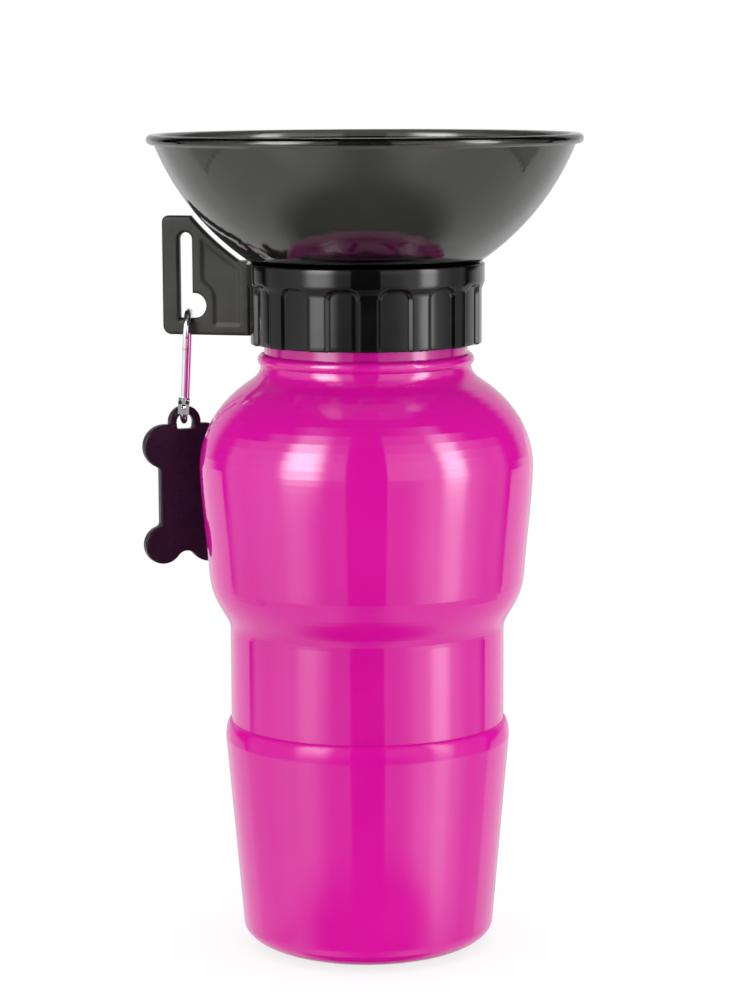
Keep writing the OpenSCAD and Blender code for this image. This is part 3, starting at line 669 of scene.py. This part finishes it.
def thin(points):
    """The loop without points that repeat the one before."""
    return [p for i, p in enumerate(points) if (p - points[i - 1]).length > LEAST_STEP]


def loop_area(points):
    """Area inside a loop, positive if it runs anticlockwise."""
    return sum(a.x * b.y - b.x * a.y for a, b in zip(points, points[1:] + points[:1])) / 2


def turned(loop, sign):
    """The loop, run anticlockwise for a sign of 1 and clockwise for -1."""
    return loop if loop_area(loop) * sign > 0 else loop[::-1]


def moved_in(points, distance):
    """A loop that runs anticlockwise, moved to its left by the distance."""
    made = []
    for i, p in enumerate(points):
        before = (p - points[i - 1]).normalized()
        after = (points[(i + 1) % len(points)] - p).normalized()
        mean = before + after
        if mean.length < 1e-6:
            mean = before
        mean.normalize()
        left = Vector((-mean.y, mean.x))
        reach = max(0.5, mean.dot(before))
        made.append(p + left * distance / reach)
    return made


def slab(build, outline, holes, thickness, edge, dents=(), dent_depth=0, dent_slope_w=0):
    """A flat plate with round edges, its loops in x and z and its thickness along y."""
    steps = 5
    half = thickness / 2
    lids = {-1: [], 1: []}
    for loop in [turned(outline, 1)] + [turned(hole, -1) for hole in holes]:
        rings = []
        for side in (-1, 1):
            for k in range(steps + 1)[::side]:
                a = math.pi / 2 * k / steps
                y = side * (half - edge + edge * math.sin(a))
                inset = moved_in(loop, edge * (1 - math.cos(a)))
                rings.append(build.add([Vector((p.x, y, p.y)) for p in inset]))
        lids[-1].append(rings[0])
        lids[1].append(rings[-1])
        build.skin(rings)
    for side in (-1, 1):
        for dent in dents:
            rings = []
            for k in range(steps + 1):
                y = side * (half - dent_depth * ease(0, steps, k))
                inset = moved_in(turned(dent, 1), dent_slope_w * k / steps)
                rings.append(build.add([Vector((p.x, y, p.y)) for p in inset]))
            build.skin(rings)
            build.cap([rings[-1]])
            lids[side].append(rings[0])
        build.cap(lids[side])


def helix_thread(build, root, crest, z0, turns):
    """A thread of four sides swept up a helix, fading in and out at its ends."""
    step_deg = 5
    fade = 8
    steps = round(turns * 360 / step_deg)
    foot, top = THREAD_W / 2, THREAD_W / 2 - THREAD_DEPTH / 2
    rings = []
    for i in range(steps + 1):
        a = math.radians(i * step_deg)
        z = z0 + THREAD_LEAD * i * step_deg / 360
        share = min(1, (i + 0.2) / fade, (steps - i + 0.2) / fade)
        r = root + (crest - root) * share
        section = [(root, z - foot), (r, z - top), (r, z + top), (root, z + foot)]
        rings.append(build.add([Vector((s * math.cos(a), s * math.sin(a), h)) for s, h in section]))
    build.tube(rings)


def flute_depth_at(u, z):
    """How far into a grip recess a point lies, from 0 outside to 1 on its floor."""
    tall = COLLAR_H - FLUTE_DROP
    across = abs(u) - (FLUTE_W / 2 - FLUTE_CORNER)
    up = z - (tall - FLUTE_CORNER)
    out = math.hypot(max(across, 0), max(up, 0)) + min(max(across, up), 0) - FLUTE_CORNER
    return 1 - ease(-FLUTE_EDGE, FLUTE_EDGE, out)


def collar_outer_r(column, z):
    """Outer radius of the collar in a column of points, at a height above its foot."""
    u = (column % FLUTE_COLUMNS / FLUTE_COLUMNS - 0.5) * math.radians(FLUTE_PITCH) * RIB_R
    r = RIB_R + (BAND_R - RIB_R) * ease(SLOPE_Z - SLOPE_H, SLOPE_Z, z)
    return r + (RIB_R - FLUTE_DEPTH - r) * flute_depth_at(u, z)


def collar_ring(build, columns, radii, z):
    """A ring of the collar's points, let down where the hanger's web crosses the rim."""
    points = []
    for a, r in zip(columns, radii):
        x, y = r * math.cos(a), r * math.sin(a)
        in_notch = x < 0 and abs(y) < WEB_W / 2 + FIT_GAP
        points.append(Vector((x, y, COLLAR_Z + (min(z, RECESS_Z) if in_notch else z))))
    return build.add(points)


def collar_piece(material):
    """Screw collar whose grip recesses have soft edges."""
    build = Build()
    columns = [math.radians(FLUTE_ANGLE + FLUTE_PITCH * (k - 0.5 + i / FLUTE_COLUMNS))
               for k in range(FLUTES) for i in range(FLUTE_COLUMNS)]
    # Outer rows: height above the collar's foot, and how far the round edge draws them in
    quarter = [math.radians(a) for a in (0, 22.5, 45, 67.5, 90)]
    low_rows = [(COLLAR_EDGE * (1 - math.cos(a)), COLLAR_EDGE * (1 - math.sin(a))) for a in quarter]
    high_rows = [(COLLAR_H - z, inset) for z, inset in low_rows[::-1]]
    heights = [COLLAR_EDGE + COARSE_STEP * (i + 1) for i in range(COARSE_ROWS)]
    heights += [FINE_FROM + FINE_STEP * i for i in range(FINE_ROWS)]
    mid_rows = [(z, 0) for z in (*heights, *BAND_ROWS)]
    rings = []
    for z, inset in low_rows + mid_rows + high_rows:
        radii = [collar_outer_r(c, z) - inset for c in range(len(columns))]
        rings.append(collar_ring(build, columns, radii, z))
    # Inner rows, from the rim down to the foot of the bore
    for r, z in [(RECESS_R + RIM_BEVEL, COLLAR_H), (RECESS_R, COLLAR_H - RIM_BEVEL), (RECESS_R, RECESS_Z),
                 (SPIGOT_HOLE_R, RECESS_Z), (SPIGOT_HOLE_R, PLATE_LOW_Z), (COLLAR_BORE_R, PLATE_LOW_Z),
                 (COLLAR_BORE_R, BORE_BEVEL), (COLLAR_BORE_R + BORE_BEVEL, 0)]:
        rings.append(collar_ring(build, columns, [r] * len(columns), z))
    build.skin(rings, around_too=True)
    helix_thread(build, THREAD_ROOT_R, THREAD_CREST_R, THREAD_FOOT_Z, COLLAR_TURNS)
    build.piece("collar_shell", "collar", "cap", "black_plastic", material)


def bowl_side(z, gap):
    """Distance from the axis of the bowl's outer side at a height, plus a gap."""
    foot = Vector((BOWL_FOOT_R, COLLAR_TOP))
    top = Vector((BOWL_TOP_R, COLLAR_TOP + BOWL_H - 2 * RIM_BEAD_R))
    run = top - foot
    back = math.sqrt(BOWL_CURVE_R ** 2 - run.length_squared / 4)
    middle = (foot + top) / 2 + back * Vector((-run.y, run.x)).normalized()
    return middle.x + math.sqrt(BOWL_CURVE_R ** 2 - (z - middle.y) ** 2) + gap


def beside_bowl(from_z, gap):
    """Points along the bowl's side, from a height down to the collar's top."""
    heights = [from_z + (COLLAR_TOP - from_z) * i / SIDE_STEPS for i in range(SIDE_STEPS + 1)]
    return [Vector((bowl_side(z, gap), z)) for z in heights]


def hanger_outline():
    """The plate's outline, whose inner side follows the bowl's."""
    low_z, high_z = HANGER_LOW.z, HANGER_HIGH.z
    return ([Vector((HANGER_IN, low_z))]
            + arc((HANGER_REACH - HANGER_LOW_R, low_z + HANGER_LOW_R), HANGER_LOW_R, -90, 0)
            + arc((HANGER_REACH - HANGER_HIGH_R, high_z - HANGER_HIGH_R), HANGER_HIGH_R, 0, 90)
            + beside_bowl(high_z, HANGER_BOWL_GAP) + [Vector((HANGER_IN, COLLAR_TOP))])


def strap_slot():
    """The strap slot with its keyhole.

    It ends a little below the bar's top, so that the slab's corners lie inside the round bar."""
    round_r = STRAP_W / 2
    top = HANGER_HIGH.z - STRAP_TOP - round_r
    key = Vector((STRAP_IN - KEYHOLE_IN, BAR_Z + KEYHOLE_R))
    start = math.degrees(math.acos(KEYHOLE_IN / KEYHOLE_R))
    foot_z = BAR_Z - BAR_SINK
    return ([Vector((STRAP_OUT, top))] + arc((STRAP_IN + round_r, top), round_r, 0, 180)
            + arc(key, KEYHOLE_R, start, 270, 24) + [Vector((key.x + BAR_SINK, foot_z))]
            + arc((STRAP_OUT - STRAP_FOOT_R, foot_z + STRAP_FOOT_R), STRAP_FOOT_R, -90, 0, 5))


def hanger_panel():
    """The sunk panel between slot, keyhole and collar, its corners cut where it passes them."""
    border, corner = PANEL_BORDER, PANEL_CORNER
    low_z = HANGER_LOW.z + border + corner
    key_x = STRAP_IN - KEYHOLE_R - border
    key_z = BAR_Z + 2 * KEYHOLE_R
    slot_x = STRAP_IN - border
    top = HANGER_HIGH.z - border - corner
    side = [p for p in beside_bowl(top - 1.5, HANGER_BOWL_GAP + border) if p.x < slot_x - 0.4]
    return (arc((HANGER_IN + border + corner, low_z), corner, 180, 270, 6)
            + arc((key_x - corner, low_z), corner, -90, 0, 6)
            + [Vector((key_x, key_z - 1)), Vector((key_x + 0.6, key_z + 0.8)),
               Vector((slot_x, key_z + border + 1.2)), Vector((slot_x, top - 3))]
            + side + [Vector((HANGER_IN + border, COLLAR_TOP - border))])


def hanger_piece(material):
    """Hanger plate with a strap slot and keyhole, on its ring under the bowl."""
    build = Build()
    slab(build, thin(hanger_outline()), [thin(strap_slot())], HANGER_T, HANGER_EDGE,
         [thin(hanger_panel())], PANEL_DEPTH, PANEL_SLOPE_W)
    # The plate's x runs outwards, to the bottle's left
    build.points = [Vector((-p.x, p.y, p.z)) for p in build.points]
    ring_z = COLLAR_TOP - RING_T
    ring_r = RECESS_R - FIT_GAP
    rings = [build.add([Vector((x, y, z)) for x, y in circle(r, 96)])
             for r, z in [(ring_r, ring_z), (ring_r, COLLAR_TOP),
                          (SPIGOT_HOLE_R, COLLAR_TOP), (SPIGOT_HOLE_R, ring_z)]]
    build.skin(rings, around_too=True)
    # Web between the ring and the plate, which reaches into both
    web_in, web_out, half = ring_r - WEB_IN_RING, HANGER_IN + WEB_IN_PLATE, WEB_W / 2
    corners = [(web_in, -half), (web_in, half), (web_out, half), (web_out, -half)]
    build.tube([build.add([Vector((-x, y, z)) for x, y in corners])
                for z in (ring_z + WEB_SINK, COLLAR_TOP - WEB_SINK)])
    # Round top of the bar that the hook hangs on
    build.tube([build.add([Vector((-x, y, BAR_Z - BAR_R + up)) for y, up in circle(BAR_R, 32)])
                for x in (STRAP_IN - KEYHOLE_IN - BAR_PAST, STRAP_OUT + BAR_PAST)])
    build.piece("hanger_plate", "hanger", "cap", "smoke_plastic", material)


def heading(a, b):
    """Angle of the direction from one point to another, in degrees."""
    return math.degrees(math.atan2(b.y - a.y, b.x - a.x))


def short_side(long_side, other_side):
    """The second short side of a right-angled triangle."""
    return math.sqrt(long_side ** 2 - other_side ** 2)


def bone_outline():
    """The bone, with the foot of the loop's hole let into its top."""
    top, low = -TAG_DROP, -TAG_DROP - TAG_H
    lobe = Vector((TAG_HALF_W - LOBE_TOP_R, top - LOBE_TOP_R))
    foot = Vector((TAG_HALF_W - LOBE_LOW_R, low + LOBE_LOW_R))
    # Middles of the fillets between the lobes and the shank, and of the notch at the bottom
    shank = SHANK_HALF_W + TAG_FILLET
    upper = Vector((shank, lobe.y - short_side(LOBE_TOP_R + TAG_FILLET, shank - lobe.x)))
    lower = Vector((shank, foot.y + short_side(LOBE_LOW_R + TAG_FILLET, shank - foot.x)))
    notch = Vector((0, foot.y - short_side(LOBE_LOW_R + NOTCH_R, foot.x)))
    half = arc(lobe, LOBE_TOP_R, 90, heading(lobe, upper), 22)
    half += arc(upper, TAG_FILLET, heading(upper, lobe), 180, 6)
    half += arc(lower, TAG_FILLET, 180, heading(lower, foot) + 360, 6)
    half += arc(foot, LOBE_LOW_R, heading(foot, lower), heading(foot, notch), 24)
    half += arc(notch, NOTCH_R, heading(notch, foot), 90, 8)
    left = [Vector((-p.x, p.y)) for p in half[::-1]]
    corner = LOOP_HOLE_CORNER
    corner_z = -LOOP_R + LOOP_HOLE_RISE + corner
    hole_foot = ([Vector((-LOOP_R, top))] + arc((-LOOP_R + corner, corner_z), corner, 180, 270, 5)
                 + arc((LOOP_R - corner, corner_z), corner, 270, 360, 5) + [Vector((LOOP_R, top))])
    return half + left + hole_foot


def loop_outline():
    """The loop is an arch, so its outline runs up its outside and back down its hole."""
    foot_z = -TAG_DROP - LOOP_SINK
    outer_r = LOOP_R + LOOP_W
    return (arc((0, 0), outer_r, 0, 180, 28) + [Vector((-outer_r, foot_z)), Vector((-LOOP_R, foot_z))]
            + arc((0, 0), LOOP_R, 180, 0, 24) + [Vector((LOOP_R, foot_z)), Vector((outer_r, foot_z))])


def tag_piece(material):
    """Bone-shaped tag with round edges, and the loop it hangs by."""
    build = Build()
    slab(build, thin(bone_outline()), [], TAG_T, TAG_EDGE)
    slab(build, thin(loop_outline()), [], LOOP_T, LOOP_EDGE)
    low_corner, high_corner = box_mm("bone_tag")
    centre = (low_corner + high_corner) / 2
    place = (Matrix.Translation((centre.x, centre.y, high_corner.z - LOOP_R - LOOP_W))
             @ Matrix.Rotation(TAG_TURN, 4, "Z"))
    build.piece("bone_charm", "bone_tag", "tag", "tag_plastic", material, place)


add_camera()
add_world()
add_floor()
add_flat("left_flat", -116, -14, (1.4, 1.4, 0.85), [(-45, 19, 13.8, 21.5, 15), (-50, -14, 10, 12, 0.6)])
add_flat("right_flat", 14, 116, (1.6, 2.3, 0.65), [(62.5, 15, 9, 24, 11), (63, -16, 7.5, 16, 0.8)])
add_top_light()

magenta = magenta_plastic()
black = black_plastic()
natural = natural_plastic()
rubber = soft_rubber()
chrome = fine_metal("chrome", (0.78, 0.77, 0.78), (0.86, 0.85, 0.86), 0.06, 0.16)
steel = fine_metal("steel", (0.5, 0.5, 0.52), (0.62, 0.62, 0.64), 0.2, 0.35)

for name, material in {
        "bottle": magenta, "neck_gasket": rubber, "lock_ring": black,
        "bowl": clear_smoke_plastic(), "outlet_dome": dome_plastic(), "outlet_seal": rubber,
        "tube_socket": natural, "slit_valve": rubber, "valve_clip": natural,
        "dip_tube": natural, "tube_foot": natural, "clip_body": chrome, "clip_gate": chrome,
        "gate_pin": steel, "gate_spring": steel}.items():
    dress(name, material)

collar_piece(black)
hanger_piece(thick_smoke_plastic())
tag_piece(tag_plastic())

bpy.context.scene.view_settings.view_transform = "Standard"
